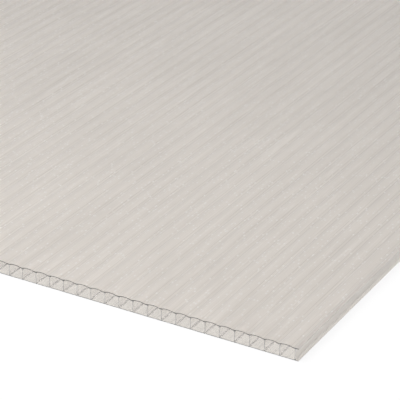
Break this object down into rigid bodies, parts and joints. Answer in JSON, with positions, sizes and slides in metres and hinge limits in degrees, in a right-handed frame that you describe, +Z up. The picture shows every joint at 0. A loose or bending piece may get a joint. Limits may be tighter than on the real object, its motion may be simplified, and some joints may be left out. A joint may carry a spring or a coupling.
{
  "type": "multiwall polycarbonate sheet",
  "caption": "Flat clear twin-wall plastic glazing sheet with open parallel flutes between two thin skins, sawn square at both ends.",
  "frame": {"origin": "middle of the flat underside, where the sheet rests on a floor", "axes": "+X across the flutes, +Y along the flutes and the sheet's length, +Z up through the thickness"},
  "size_m": [0.698, 2, 0.01],
  "materials": {
    "clear_polycarbonate": "clear extruded polycarbonate, glossy on both faces"
  },
  "bodies": {
    "root": {"multiwall_sheet": "clear_polycarbonate"}
  },
  "joints": []
}
